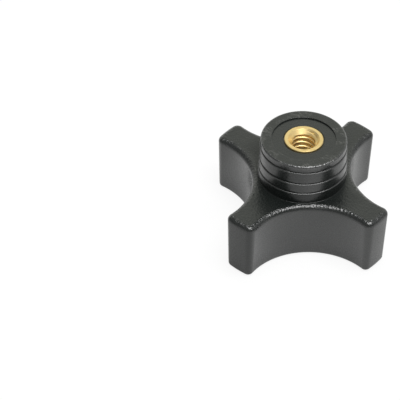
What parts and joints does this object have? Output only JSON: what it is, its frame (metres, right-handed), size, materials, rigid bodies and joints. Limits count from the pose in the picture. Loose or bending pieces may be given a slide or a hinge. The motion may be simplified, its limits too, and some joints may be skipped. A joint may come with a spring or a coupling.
{
  "type": "wing nut knob",
  "caption": "Moulded hand knob nut: a cross-shaped grip with finger scallops, a stepped round hub, a deep recess in its outer face and a threaded brass insert, tightened by hand on a stud.",
  "frame": {"origin": "centre of the grip's outer face, on the thread's axis, where the knob lies with its hub upward", "axes": "+Z along the thread, out of the hub's end; +X and +Y along two of the arms"},
  "size_m": [0.0444, 0.0444, 0.0247],
  "materials": {
    "moulding": "black, fine moulded grain, slight sheen",
    "brass": "turned and tapped, bright"
  },
  "bodies": {
    "root": {"knob_body": "moulding", "threaded_insert": "brass"}
  },
  "joints": []
}
